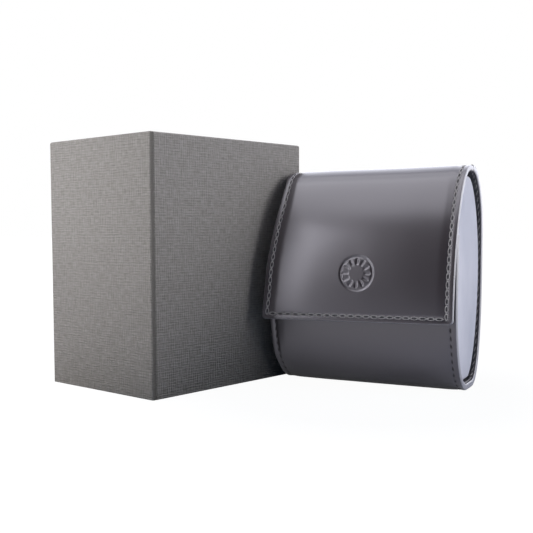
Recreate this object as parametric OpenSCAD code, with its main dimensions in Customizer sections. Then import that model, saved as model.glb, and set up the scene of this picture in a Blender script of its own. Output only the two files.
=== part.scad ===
// Watch travel case with its outer carton, standing side by side.
// The case is a soft tube: one leather band makes the front wall, the floor, the back and the roof, and comes down
// over the front as a flap with hidden magnets. A suede spool with a watch cushion slides out of the tube's right end.
// The carton is a set-up box of board covered with linen paper, with a full-depth lid that lifts off its tray.
// Millimetres, +Z up. X runs along the tube, -Y is the flap's side. The origin is the centre of the set's footprint.

/* [Watch case] */
// Length of the tube, from rim to rim
case_w = 89; // [70:1:120]
// Depth of the closed tube, front wall to back wall
case_d = 50; // [44:1:64]
// Height of the tube
case_h = 102.5; // [98:0.5:125]
// Width of the flat strip of floor that the tube stands on
base_flat = 8; // [6:1:14]
// Height of the rounding above the widest place of the back wall
shoulder_h = 30; // [22:1:38]
// Squareness of the back wall's lower rounding, 2 is an ellipse
back_fullness = 2.55; // [2:0.05:3]
// Height of the front wall's widest place
belly_h = 40; // [34:1:46]
// Squareness of the front wall's lower rounding, 2 is an ellipse
front_fullness = 2.1; // [2:0.05:2.6]
// Height above the roof at which the front wall's curve would close
front_over = 12.5; // [6:0.5:30]
// Height of the mouth, from the front wall's free edge to the roof
mouth_h = 31.5; // [26:0.5:42]

/* [Case wall] */
// Thickness of the outer leather
leather_t = 1.1; // [0.8:0.1:1.6]
// Thickness of the stiffening board between the leathers
board_t = 1.2; // [1:0.1:1.8]
// Thickness of the grained lining leather
lining_t = 0.9; // [0.6:0.1:1.4]
// Distance by which the stiffening board stays back from each cut edge
board_inset = 2; // [1:0.5:4]

/* [Flap] */
// Height of the flap's lower edge
flap_bottom = 31.2; // [28:0.2:36]
// Distance by which the flap's face stands in front of the front wall, at its lower edge
flap_stand = 7; // [6:0.5:10]
// Radius of the flap's lower corners
flap_corner_r = 2.2; // [1:0.2:8]
// Gap along the fold between the flap and the wrap
fold_gap = 0.3; // [0.2:0.1:0.6]

/* [Magnets] */
// Diameter of each closing disc
disc_d = 10; // [6:1:12]
// Thickness of each closing disc
disc_t = 0.8; // [0.4:0.1:0.8]
// Distance of each disc from the middle of the flap
disc_x = 22; // [10:1:28]
// Height of the discs' centres above the flap's lower edge
disc_rise = 8; // [7:0.5:12]
// Clearance around a disc in its pocket
disc_gap = 0.1; // [0.05:0.05:0.3]

/* [Spool] */
// Distance of each suede cheek behind its rim
cheek_recess = 2.5; // [1:0.5:6]
// Thickness of a cheek's board
cheek_t = 1.8; // [1:0.2:3]
// Thickness of the suede
suede_t = 0.7; // [0.4:0.1:1.2]
// Sliding gap between the cheeks and the lining
cheek_gap = 0.4; // [0.3:0.1:0.8]
// Depth of the watch cushion, front to back
cushion_d = 24; // [20:1:26]
// Height of the watch cushion
cushion_h = 62; // [54:1:66]
// Distance of the cushion's centre behind the middle of the tube
cushion_back = 4; // [2:0.5:5]
// Height of the cushion's centre
cushion_z = 50; // [46:1:54]
// Gap between the cushion and each cheek
cushion_gap = 1.5; // [0.5:0.5:4]
// Thickness of the cushion's suede cover
cover_t = 1; // [0.6:0.1:1.6]
// Depth of the wooden core inside the cushion
core_d = 10; // [8:1:12]
// Height of the wooden core inside the cushion
core_h = 40; // [30:1:44]

/* [Carton] */
// Thickness of the linen covering paper
paper_t = 0.4; // [0.2:0.1:0.8]
// Thickness of the carton's grey board
carton_board_t = 1.6; // [1.2:0.1:2.4]
// Thickness of the carton's lining paper
carton_lining_t = 0.3; // [0.2:0.1:0.6]
// Sliding gap between the lid and the tray
lid_gap = 0.4; // [0.3:0.1:1]
// Gap between the tray's rim and the lid's ceiling
seat_gap = 0.2; // [0.1:0.1:0.5]
// Distance of the lid's lower edge above the table
lid_hem = 0.6; // [0.3:0.1:3]
// Radius of the covering paper at the carton's upright edges
paper_edge_r = 0.8; // [0.5:0.1:1.5]
// Width of the covering paper's seam beside the near upright edge
seam_w = 1.8; // [1:0.1:3]
// Depth of the covering paper's seam
seam_deep = 0.2; // [0.1:0.05:0.2]
// Distance of the seam from the near upright edge
seam_in = 0.9; // [0.8:0.1:3]
// Room beside the case in the tray, at each end of the tube
room_w = 0.8; // [0.5:0.1:4]
// Room in front of the flap and behind the case in the tray
room_d = 2.5; // [1:0.5:6]
// Room above the case in the closed carton
room_h = 5.3; // [3:0.1:10]

/* [Cradle] */
// Thickness of the foam under the case
cradle_floor = 3; // [2:0.5:6]
// Height of the foam cradle
cradle_h = 16; // [10:1:24]
// Gap between the cradle and the case that it holds
cradle_gap = 0.5; // [0.3:0.1:1.5]
// Gap between the cradle and the tray
cradle_side_gap = 0.2; // [0.1:0.1:1]

/* [Placing] */
// Angle between the tube and the carton's front face
carton_turn = 76.2; // [60:0.2:90]
// Gap between the carton's upright edge and the case's left rim
set_gap = 1; // [0.6:0.1:20]
// Place of that upright edge behind the middle of the case
carton_back = 8.7; // [0:0.1:12]

/* [Hidden] */

leather_tint = "#57525a";
lining_tint = "#2b2a2e";
suede_tint = "#bcbcc8";
linen_tint = "#8b8784";
grey_board_tint = "#a8a49c";
lining_paper_tint = "#3a3836";
foam_tint = "#4a484c";
wood_tint = "#c8ab80";
steel_tint = "#b8bcc0";

arc_steps = 14;
eps = 1;

// Case wall, from the outside in
lining_in = leather_t + board_t;
wall_t = lining_in + lining_t;
flat_y = base_flat / 2;
half_d = case_d / 2;
flap_reach = half_d + flap_stand;
wall_top = case_h - mouth_h;
front_rise = case_h - belly_h + front_over;

// Spool
cheek_in = wall_t + cheek_gap;
cheek_face_x = case_w / 2 - cheek_recess;
board_face_x = cheek_face_x - suede_t;
cheek_inner_x = board_face_x - cheek_t;
cushion_w = 2 * (cheek_inner_x - cushion_gap);

// Carton, worked out from the case that it holds
carton_wall = paper_t + carton_board_t + carton_lining_t;
tray_out = carton_wall + lid_gap;
tray_in = tray_out + carton_wall;
tray_floor = carton_board_t + carton_lining_t;
carton_w = case_w + 2 * (room_w + tray_in);
carton_d = half_d + flap_reach + 2 * (room_d + tray_in);
carton_h = tray_floor + cradle_floor + case_h + room_h + carton_wall;
tray_h = carton_h - carton_wall - seat_gap;
// The case's middle in the carton: the flap stands out in front only
packed_case_y = (flap_reach - half_d) / 2;

// Places: the carton's upright edge beside the case sets where the carton stands
edge_x = -case_w / 2 - set_gap;
edge_y = carton_back;
carton_x = edge_x - carton_w / 2 * cos(carton_turn) - carton_d / 2 * sin(carton_turn);
carton_y = edge_y - carton_w / 2 * sin(carton_turn) + carton_d / 2 * cos(carton_turn);
carton_reach_x = (carton_w / 2 - paper_edge_r) * cos(carton_turn)
               + (carton_d / 2 - paper_edge_r) * sin(carton_turn) + paper_edge_r;
carton_reach_y = (carton_w / 2 - paper_edge_r) * sin(carton_turn)
               + (carton_d / 2 - paper_edge_r) * cos(carton_turn) + paper_edge_r;
set_x = (carton_x - carton_reach_x + case_w / 2) / 2;
set_y = (min(carton_y - carton_reach_y, -flap_reach) + max(carton_y + carton_reach_y, half_d)) / 2;

// One quarter of a rounded outline. Each point is [y, z, ny, nz], the place and its outward normal.
// centre and semi are [y, z], side is the quarter's sign along each, and t runs from the Y side (0) to the Z side (90).
function quarter(centre, semi, fullness, side, t0, t1) =
    [for (i = [0:arc_steps])
        let (t = t0 + (t1 - t0) * i / arc_steps,
             c = pow(abs(cos(t)), 2 / fullness),
             s = pow(abs(sin(t)), 2 / fullness),
             n = [pow(c, fullness - 1) / semi[0], pow(s, fullness - 1) / semi[1]],
             u = n / norm(n))
        [centre[0] + side[0] * semi[0] * c, centre[1] + side[1] * semi[1] * s, side[0] * u[0], side[1] * u[1]]];

function tail(path) = [for (i = [1:len(path) - 1]) path[i]];
function inset(path, t) = [for (p = path) [p[0] - t * p[2], p[1] - t * p[3]]];
function turned(points) = [for (i = [len(points) - 1:-1:0]) points[i]];

// The outline of the wrap's outer face, from the fold down the back, along the floor and up the front wall
back_outline = concat(
    quarter([flat_y, case_h - shoulder_h], [half_d - flat_y, shoulder_h], 2, [1, 1], 90, 0),
    tail(quarter([flat_y, case_h - shoulder_h], [half_d - flat_y, case_h - shoulder_h], back_fullness, [1, -1], 0, 90)));
front_low_outline = quarter([-flat_y, belly_h], [half_d - flat_y, belly_h], front_fullness, [-1, -1], 90, 0);
front_high_outline = quarter([-flat_y, belly_h], [half_d - flat_y, front_rise], 2, [-1, 1],
                             0, asin((wall_top - belly_h) / front_rise));
wrap_outline = concat(back_outline, front_low_outline, tail(front_high_outline));

// The outline of the flap's outer face, from the fold over the roof and down the front
flap_face = quarter([0, flap_bottom], [flap_reach, case_h - flap_bottom], 2, [-1, 1], 90, 0);
flap_outline = concat([[flat_y - fold_gap, case_h, 0, 1]], flap_face);

// The closed outline of the tube, for what slides or stands in it
tube_outline = concat(back_outline, front_low_outline,
    tail(quarter([0, belly_h], [half_d, case_h - belly_h], 2, [-1, 1], 0, 90)));

// The point of a quarter outline at a height z
function at_height(centre, semi, fullness, side, z) =
    let (s = (z - centre[1]) / (side[1] * semi[1]),
         c = pow(1 - pow(s, fullness), 1 / fullness),
         n = [pow(c, fullness - 1) / semi[0], pow(s, fullness - 1) / semi[1]],
         u = n / norm(n))
    [centre[0] + side[0] * semi[0] * c, z, side[0] * u[0], side[1] * u[1]];

disc_z = flap_bottom + disc_rise;
flap_disc = at_height([0, flap_bottom], [flap_reach, case_h - flap_bottom], 2, [-1, 1], disc_z);
wall_disc = disc_z > belly_h
    ? at_height([-flat_y, belly_h], [half_d - flat_y, front_rise], 2, [-1, 1], disc_z)
    : at_height([-flat_y, belly_h], [half_d - flat_y, belly_h], front_fullness, [-1, -1], disc_z);

module case_place() translate([-set_x, -set_y, 0]) children();
module carton_place() translate([carton_x - set_x, carton_y - set_y, 0]) rotate([0, 0, carton_turn]) children();

// Extrudes a shape drawn in Y and Z along the tube, from x0 to x1
module along_x(x0, x1) translate([x0, 0, 0]) rotate([90, 0, 90]) linear_extrude(x1 - x0) children();

// One layer of a wall: the band between two depths under an outline
module layer(outline, t0, t1, half_w)
    along_x(-half_w, half_w) polygon(concat(inset(outline, t0), turned(inset(outline, t1))));

// The tube's section, inset by t
module tube_section(t) polygon(inset(tube_outline, t));

// The two discs under an outline point p
module discs(p, d, t)
    for (side = [-1, 1])
        translate([side * disc_x, p[0] - (leather_t + board_t / 2) * p[2], p[1] - (leather_t + board_t / 2) * p[3]])
            rotate([atan2(-p[2], p[3]), 0, 0])
                cylinder(h = t, d = d, center = true, $fn = 64);

// Front view of the flap with its rounded lower corners
module flap_front(edge)
    let (half_w = case_w / 2 - edge, low = flap_bottom + edge)
    rotate([90, 0, 0]) linear_extrude(4 * case_d, center = true) {
        for (side = [-1, 1])
            translate([side * (half_w - flap_corner_r), low + flap_corner_r])
                circle(r = flap_corner_r, $fn = 48);
        translate([-half_w + flap_corner_r, low]) square([2 * (half_w - flap_corner_r), case_h]);
        translate([-half_w, low + flap_corner_r]) square([2 * half_w, case_h]);
    }

module flap_layer(t0, t1, edge) intersection() {
    layer(flap_outline, t0, t1, case_w / 2 - edge);
    flap_front(edge);
}

// A rounded or square block on the carton's axes
module block(w, d, z0, z1, r = 0)
    translate([0, 0, z0]) linear_extrude(z1 - z0)
        if (r > 0) {
            for (x = [-1, 1], y = [-1, 1])
                translate([x * (w / 2 - r), y * (d / 2 - r)]) circle(r = r, $fn = 32);
            square([w - 2 * r, d], center = true);
            square([w, d - 2 * r], center = true);
        } else {
            square([w, d], center = true);
        }

// A block that lies t inside the carton's outer faces
module carton_block(t, z0, z1) block(carton_w - 2 * t, carton_d - 2 * t, z0, z1);

// Linen paper over the lid's five outer faces, with its seam beside the near upright edge
module lid_paper() color(linen_tint) carton_place() difference() {
    block(carton_w, carton_d, lid_hem, carton_h, paper_edge_r);
    carton_block(paper_t, lid_hem - eps, carton_h - paper_t);
    translate([-carton_w / 2 + seam_in, -carton_d / 2 - eps, lid_hem - eps])
        cube([seam_w, eps + seam_deep, carton_h]);
}

// Grey board shell of the lid
module lid_board() color(grey_board_tint) carton_place() difference() {
    carton_block(paper_t, lid_hem, carton_h - paper_t);
    carton_block(paper_t + carton_board_t, lid_hem - eps, carton_h - paper_t - carton_board_t);
}

// Lining paper inside the lid
module lid_lining() color(lining_paper_tint) carton_place() difference() {
    carton_block(paper_t + carton_board_t, lid_hem, carton_h - paper_t - carton_board_t);
    carton_block(carton_wall, lid_hem - eps, carton_h - carton_wall);
}

// Covering paper around the tray's four walls
module tray_paper() color(linen_tint) carton_place() difference() {
    carton_block(tray_out, 0, tray_h);
    carton_block(tray_out + paper_t, -eps, tray_h + eps);
}

// Grey board tray that stands on the table
module tray_board() color(grey_board_tint) carton_place() difference() {
    carton_block(tray_out + paper_t, 0, tray_h);
    carton_block(tray_out + paper_t + carton_board_t, carton_board_t, tray_h + eps);
}

// Lining paper inside the tray
module tray_lining() color(lining_paper_tint) carton_place() difference() {
    carton_block(tray_out + paper_t + carton_board_t, carton_board_t, tray_h);
    carton_block(tray_in, tray_floor, tray_h + eps);
}

// Flocked foam with a trough for the rounded underside of the case
module cradle() color(foam_tint) carton_place() difference() {
    carton_block(tray_in + cradle_side_gap, tray_floor, tray_floor + cradle_h);
    translate([0, packed_case_y, tray_floor + cradle_floor])
        along_x(-carton_w, carton_w) tube_section(-cradle_gap);
}

module wrap_leather() color(leather_tint) case_place() layer(wrap_outline, 0, leather_t, case_w / 2);

module wrap_board() color(grey_board_tint) case_place() difference() {
    layer(wrap_outline, leather_t, lining_in, case_w / 2 - board_inset);
    discs(wall_disc, disc_d + 2 * disc_gap, 4 * board_t);
}

module wrap_lining() color(lining_tint) case_place() layer(wrap_outline, lining_in, wall_t, case_w / 2);

// Steel discs in the front wall that the flap's magnets pull on
module front_discs() color(steel_tint) case_place() discs(wall_disc, disc_d, disc_t);

module flap_leather() color(leather_tint) case_place() flap_layer(0, leather_t, 0);

module flap_board() color(grey_board_tint) case_place() difference() {
    flap_layer(leather_t, lining_in, board_inset);
    discs(flap_disc, disc_d + 2 * disc_gap, 4 * board_t);
}

module flap_lining() color(lining_tint) case_place() flap_layer(lining_in, wall_t, 0);

module flap_magnets() color(steel_tint) case_place() discs(flap_disc, disc_d, disc_t);

// side is -1 for the left cheek and 1 for the right one
module cheek_board(side) color(grey_board_tint) case_place()
    along_x(min(side * cheek_inner_x, side * board_face_x), max(side * cheek_inner_x, side * board_face_x))
        tube_section(cheek_in + suede_t);

// Suede over the cheek's outer face and around its edge
module cheek_suede(side) color(suede_tint) case_place() difference() {
    along_x(min(side * cheek_inner_x, side * cheek_face_x), max(side * cheek_inner_x, side * cheek_face_x))
        tube_section(cheek_in);
    along_x(min(side * (cheek_inner_x - eps), side * board_face_x), max(side * (cheek_inner_x - eps), side * board_face_x))
        tube_section(cheek_in + suede_t);
}

module left_cheek_board() cheek_board(-1);
module left_cheek_suede() cheek_suede(-1);
module right_cheek_board() cheek_board(1);
module right_cheek_suede() cheek_suede(1);

// The cushion's section with round ends, inset by t
module cushion_section(t) {
    r = cushion_d / 2 - t;
    translate([cushion_back, cushion_z]) {
        for (side = [-1, 1])
            translate([0, side * (cushion_h - cushion_d) / 2]) circle(r = r, $fn = 64);
        square([2 * r, cushion_h - cushion_d], center = true);
    }
}

module core_section() translate([cushion_back, cushion_z]) square([core_d, core_h], center = true);

// Wooden bar that joins the two cheeks
module cushion_core() color(wood_tint) case_place() along_x(-cheek_inner_x, cheek_inner_x) core_section();

module cushion_foam() color(foam_tint) case_place() along_x(-cushion_w / 2, cushion_w / 2) difference() {
    cushion_section(cover_t);
    core_section();
}

module cushion_cover() color(suede_tint) case_place() along_x(-cushion_w / 2, cushion_w / 2) difference() {
    cushion_section(0);
    cushion_section(cover_t);
}

lid_paper();
lid_board();
lid_lining();
tray_paper();
tray_board();
tray_lining();
cradle();
wrap_leather();
wrap_board();
wrap_lining();
front_discs();
flap_leather();
flap_board();
flap_lining();
flap_magnets();
left_cheek_board();
left_cheek_suede();
right_cheek_board();
right_cheek_suede();
cushion_core();
cushion_foam();
cushion_cover();
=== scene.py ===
import math

import bmesh
import bpy
import numpy as np
from mathutils import Matrix, Vector, noise


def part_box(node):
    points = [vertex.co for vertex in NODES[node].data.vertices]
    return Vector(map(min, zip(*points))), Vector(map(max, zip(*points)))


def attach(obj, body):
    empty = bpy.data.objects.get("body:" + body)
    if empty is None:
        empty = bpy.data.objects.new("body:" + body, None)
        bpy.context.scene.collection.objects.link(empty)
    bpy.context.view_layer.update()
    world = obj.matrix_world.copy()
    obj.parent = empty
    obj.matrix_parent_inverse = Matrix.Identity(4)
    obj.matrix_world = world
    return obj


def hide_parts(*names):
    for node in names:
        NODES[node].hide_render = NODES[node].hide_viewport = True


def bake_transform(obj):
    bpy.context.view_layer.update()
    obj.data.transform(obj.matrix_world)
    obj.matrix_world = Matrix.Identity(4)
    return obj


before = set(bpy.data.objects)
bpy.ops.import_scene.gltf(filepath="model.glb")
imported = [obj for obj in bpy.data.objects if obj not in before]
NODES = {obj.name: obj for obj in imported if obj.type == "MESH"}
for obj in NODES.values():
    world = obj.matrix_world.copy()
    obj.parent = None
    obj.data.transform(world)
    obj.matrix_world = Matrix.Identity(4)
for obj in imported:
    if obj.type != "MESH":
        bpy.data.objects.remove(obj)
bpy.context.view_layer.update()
MM = 0.001


# ------------------------------------------------------------------------------------------
# The place where the set stands: a pale table under a large soft light overhead, with others to the left and
# beside the case's open end. Two of them reach only matt surfaces or only gloss, in place of a studio's large
# cards. The camera stands as high as the middle of the case.
CAMERA_PLACE = (0.1846, -0.3563, 0.0731)
CAMERA_TURN = 27.0       # degrees to the left of the flap's own direction
CAMERA_DIP = 2.446       # degrees below the horizon
CAMERA_LENS = 57.19      # mm
CAMERA_SENSOR = 36       # mm

camera_data = bpy.data.cameras.new("camera")
camera_data.lens = CAMERA_LENS
camera_data.sensor_width = CAMERA_SENSOR
camera_data.clip_start = 10 * MM
camera = bpy.data.objects.new("camera", camera_data)
camera.location = CAMERA_PLACE
camera.rotation_euler = (math.radians(90 - CAMERA_DIP), 0, math.radians(CAMERA_TURN))
bpy.context.scene.collection.objects.link(camera)
bpy.context.scene.camera = camera
bpy.context.scene.view_settings.view_transform = "Standard"


def srgb(red, green, blue):
    """A colour as it is seen, 0 to 255, turned into the shader's own numbers."""
    shares = [c / 255 for c in (red, green, blue)]
    return tuple(c / 12.92 if c < 0.04045 else ((c + 0.055) / 1.055) ** 2.4 for c in shares) + (1,)


def add(tree, kind, inputs=None, **settings):
    """One shader node with its settings. An input is a number, a colour or another node's socket."""
    made = tree.nodes.new("ShaderNode" + kind)
    for key, value in settings.items():
        setattr(made, key, value)
    for key, value in (inputs or {}).items():
        if isinstance(value, bpy.types.NodeSocket):
            tree.links.new(value, made.inputs[key])
        else:
            made.inputs[key].default_value = value
    return made


def maths(tree, operation, a, b=0.0):
    """The result of one sum on numbers or sockets."""
    return add(tree, "Math", {0: a, 1: b}, operation=operation).outputs[0]


def times(tree, a, b):
    return maths(tree, "MULTIPLY", a, b)


def plus(tree, a, b):
    return maths(tree, "ADD", a, b)


def own_place(tree):
    """Where a point is in metres, from the middle of the set."""
    return add(tree, "TexCoord").outputs["Object"]


def spread(tree, socket, low, high, to_low=0.0, to_high=1.0):
    """A socket's range low to high laid over another range, and held at its ends."""
    return add(tree, "MapRange", {0: socket, 1: low, 2: high, 3: to_low, 4: to_high}).outputs[0]


def between(tree, share, first, second):
    """A colour between two, each a colour or a socket, by a share from 0 to 1."""
    return add(tree, "Mix", {0: share, 6: first, 7: second}, data_type="RGBA").outputs[2]


def mirrored_rays(tree, rays):
    """1 for a ray that comes off gloss or through glass, and 0 for any other."""
    return maths(tree, "MAXIMUM", rays.outputs["Is Glossy Ray"], rays.outputs["Is Transmission Ray"])


def soft_light(name, place, aim, wide, tall, radiance, matt=True, gloss=True):
    """A softbox turned to what it lights. Radiance 1 is as bright as paper, and matt and gloss say which
    surfaces it reaches."""
    data = bpy.data.lights.new(name, "AREA")
    data.shape = "RECTANGLE"
    data.size, data.size_y = wide, tall
    data.energy = radiance * math.pi * wide * tall
    lamp = bpy.data.objects.new(name, data)
    lamp.location = place
    lamp.rotation_euler = (Vector(aim) - Vector(place)).to_track_quat("-Z", "Y").to_euler()
    lamp.visible_camera = False
    lamp.visible_diffuse = matt
    lamp.visible_glossy = gloss
    bpy.context.scene.collection.objects.link(lamp)


CASE_LOW, CASE_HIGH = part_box("wrap_leather")
CASE_MIDDLE = (CASE_LOW + CASE_HIGH) / 2
soft_light("overhead", (-0.24, -0.285, 0.80), (-0.24, -0.285, 0.0), wide=0.72, tall=0.89, radiance=2.7)
soft_light("left_front", (-0.449, -0.531, 0.275), CASE_MIDDLE, wide=0.37, tall=0.54, radiance=3.0,
           gloss=False)
soft_light("left_sheen", (-0.147, -0.184, 0.138), (0.03, 0.0, 0.068), wide=0.146, tall=0.216, radiance=6.5,
           matt=False)
soft_light("far_left", (-0.75, -0.35, 0.12), (-0.08, -0.03, 0.03), wide=0.40, tall=0.22, radiance=10.0)
soft_light("open_end", (0.82, 0.10, 0.36), CASE_MIDDLE, wide=0.60, tall=0.66, radiance=4.5)

# The room's own light: dim and cool, and darker behind the camera, where the table's light doesn't reach.
# The camera sees the backdrop white. Gloss sees it pale, brightest low behind the set, and dark behind the
# camera.
ROOM_DARK_SIDE = Vector((-0.02, -0.99, 0.05)).normalized()
ROOM_DARK = srgb(20, 25, 38)
ROOM_DIM = srgb(88, 106, 146)
BACKDROP = srgb(232, 234, 243)
BACKDROP_LOW = 2.3       # what gloss sees on top of its strength of 1, low behind the set
WHITE = (1, 1, 1, 1)
room = bpy.data.worlds.new("room")
room.use_nodes = True
bpy.context.scene.world = room
tree = room.node_tree
tree.nodes.clear()
rays = add(tree, "LightPath")
mirrored = mirrored_rays(tree, rays)
towards = add(tree, "TexCoord").outputs["Generated"]
facing = add(tree, "VectorMath", {0: towards, 1: ROOM_DARK_SIDE}, operation="DOT_PRODUCT").outputs["Value"]
dark = add(tree, "MapRange", {0: facing, 1: -0.50, 2: 0.60}, interpolation_type="SMOOTHSTEP").outputs[0]
on_matt = between(tree, dark, ROOM_DIM, ROOM_DARK)
on_gloss = between(tree, dark, BACKDROP, ROOM_DARK)
lit = between(tree, mirrored, on_matt, on_gloss)
seen = between(tree, rays.outputs["Is Camera Ray"], lit, WHITE)
low_behind = spread(tree, facing, 0.0, -0.75, 0.0, BACKDROP_LOW)
strength = plus(tree, times(tree, mirrored, low_behind), 1.0)
light = add(tree, "Background", {"Color": seen, "Strength": strength})
tree.links.new(light.outputs[0], add(tree, "OutputWorld").inputs["Surface"])

# The table: pale, with painted shade, dim and cool, in the gap between the two items. The camera sees it
# close to white. Gloss sees it glow as painted light: brighter away from the set, to the left and behind, and
# in one patch before the case.
TABLE_SIZE = 12          # m
TABLE_PALE = (0.72, 0.71, 0.70, 1)
TABLE_GAP_SHADE = (0.08, 0.12, 0.18, 1)
TABLE_GLOSS = (0.92, 0.94, 1.0, 1)
TABLE_GLOW = 1.10
CENTRE_SPOT = (0, 0, 0)
GAP_SPOT = (0.055, 0, 0)
BRIGHT_SPOT = (0.01, -0.115, 0)
bm = bmesh.new()
bmesh.ops.create_grid(bm, x_segments=1, y_segments=1, size=TABLE_SIZE / 2)
table_mesh = bpy.data.meshes.new("table")
bm.to_mesh(table_mesh)
bm.free()
table = bpy.data.objects.new("table", table_mesh)
bpy.context.scene.collection.objects.link(table)
table_finish = bpy.data.materials.new("table_white")
table_finish.use_nodes = True
tree = table_finish.node_tree
tree.nodes.clear()
rays = add(tree, "LightPath")
mirrored = mirrored_rays(tree, rays)
place = own_place(tree)
ways = add(tree, "SeparateXYZ", {0: place})
off_centre, off_gap, off_bright = [
    add(tree, "VectorMath", {0: place, 1: spot}, operation="DISTANCE").outputs["Value"]
    for spot in (CENTRE_SPOT, GAP_SPOT, BRIGHT_SPOT)]
# Painted light: for gloss the table glows, most in a bright patch before the case that the leather reflects.
gloss_glow = spread(tree, off_centre, 0.20, 0.75, 0.07, 0.36)
for way, near, far, at_near, at_far in (
        (ways.outputs[0], -0.03, -0.30, 0.0, 0.34),        # to the left
        (ways.outputs[1], 0.10, 0.50, 0.0, 0.75),          # behind the set
        (off_bright, 0.06, 0.14, 1.0, 0.0)):               # the patch before the case
    gloss_glow = plus(tree, gloss_glow, spread(tree, way, near, far, at_near, at_far))
camera_glow = spread(tree, off_centre, 0.25, 0.9, 0.88, 1.0)
share = times(tree, rays.outputs["Is Camera Ray"], camera_glow)
share = plus(tree, share, times(tree, mirrored, gloss_glow))
share = maths(tree, "MINIMUM", share, 1.0)
# Painted shade: the matt paint turns dim and cool in the gap, so that less light bounces there.
matt_paint_with_gap_shade = between(tree, spread(tree, off_gap, 0.06, 0.15), TABLE_GAP_SHADE, TABLE_PALE)
paint = between(tree, mirrored, matt_paint_with_gap_shade, TABLE_GLOSS)
top = add(tree, "BsdfDiffuse", {"Color": paint})
glow = add(tree, "Emission", {"Color": WHITE, "Strength": TABLE_GLOW})
mixed = add(tree, "MixShader", {0: share, 1: top.outputs[0], 2: glow.outputs[0]})
tree.links.new(mixed.outputs[0], add(tree, "OutputMaterial").inputs["Surface"])
table_mesh.materials.append(table_finish)


# ------------------------------------------------------------------------------------------
# Grey board: the millboard shells of the carton's lid and tray, the stiffeners inside the case's leather and
# the cards of the spool's two cheeks. It is pressed from waste paper, so its cut faces show short fibres and
# grey flecks.
def finish(name, colour, roughness, **sockets):
    """A new material with its shader's plain sockets set. Gives the material, its nodes and the shader."""
    material = bpy.data.materials.new(name)
    material.use_nodes = True
    shader = material.node_tree.nodes["Principled BSDF"]
    shader.inputs["Base Color"].default_value = colour
    shader.inputs["Roughness"].default_value = roughness
    for key, value in sockets.items():
        shader.inputs[key.replace("_", " ")].default_value = value
    return material, material.node_tree, shader


def noise_at(tree, vector, scale, detail=2.0, stretch=(1, 1, 1)):
    """Noise from 0 to 1 with about scale patches to the metre, stretched along an axis where wanted."""
    turned = add(tree, "Mapping", {"Vector": vector, "Scale": stretch}).outputs[0]
    return add(tree, "TexNoise", {"Vector": turned, "Scale": scale, "Detail": detail}).outputs["Fac"]


def tint(tree, shader, colour):
    tree.links.new(colour, shader.inputs["Base Color"])


def relief(tree, shader, height, distance):
    """Bumps under a shader: height 1 stands distance metres proud."""
    bump = add(tree, "Bump", {"Height": height, "Distance": distance})
    tree.links.new(bump.outputs[0], shader.inputs["Normal"])


def dress(names, material):
    """Gives CAD nodes their finish."""
    for name in names:
        NODES[name].data.materials.clear()
        NODES[name].data.materials.append(material)


grey_board, tree, shader = finish("grey_board", srgb(160, 156, 148), 0.9)
place = own_place(tree)
fibres = noise_at(tree, place, 900, 4)
flecks = spread(tree, noise_at(tree, place, 2600, 1), 0.62, 0.72)
colour = between(tree, fibres, srgb(132, 128, 121), srgb(182, 178, 170))
colour = between(tree, times(tree, flecks, 0.5), colour, srgb(96, 92, 88))
tint(tree, shader, colour)
relief(tree, shader, fibres, 0.08 * MM)
dress(["lid_board", "tray_board"], grey_board)


# ------------------------------------------------------------------------------------------
# Carton tray: covering paper outside and a plain dark paper inside, both glued to the board. None of it shows
# while the lid is on.
CARTON_TURN = math.radians(76.2)
CARTON_WIDE = 100.6 * MM
CARTON_DEEP = 72.0 * MM
carton_low, carton_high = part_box("lid_paper")
CARTON_MIDDLE = (carton_low + carton_high) / 2
CARTON_SPOT = Vector((CARTON_MIDDLE.x, CARTON_MIDDLE.y, 0))


def on_carton(tree):
    """Object coordinates turned square to the carton's walls."""
    place = own_place(tree)
    centred = add(tree, "Mapping", {"Vector": place, "Location": -CARTON_SPOT}).outputs[0]
    return add(tree, "Mapping", {"Vector": centred, "Rotation": (0, 0, -CARTON_TURN)}).outputs[0]


lining_paper, tree, shader = finish("lining_paper", srgb(58, 56, 54), 0.8)
place = on_carton(tree)
fibres = noise_at(tree, place, 1500, 3)
clouds = noise_at(tree, place, 40, 2)
tint(tree, shader, between(tree, clouds, srgb(50, 48, 47), srgb(66, 64, 62)))
relief(tree, shader, fibres, 0.03 * MM)
dress(["tray_lining", "lid_lining"], lining_paper)


WEAVE_PITCH = 1.2 * MM
WEAVE_WANDER = 10.0      # radians of a pitch
WEAVE_SHARE = 0.28
FIBRE_SHARE = 0.72
LINEN_DEEP = 0.19 * MM


def threads(tree, over, flat, patch, slow):
    """Threads of the paper's weave, a pitch apart, wandering and coming and going in patches along them."""
    wander = times(tree, noise_at(tree, flat, 1, 2, slow), WEAVE_WANDER)
    phase = plus(tree, times(tree, over, math.tau / WEAVE_PITCH), wander)
    wave = spread(tree, maths(tree, "SINE", phase), -1.0, 1.0)
    fibres = spread(tree, noise_at(tree, flat, 1, 2, patch), 0.30, 0.70, 0.0, FIBRE_SHARE)
    return plus(tree, times(tree, wave, WEAVE_SHARE), fibres)


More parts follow.
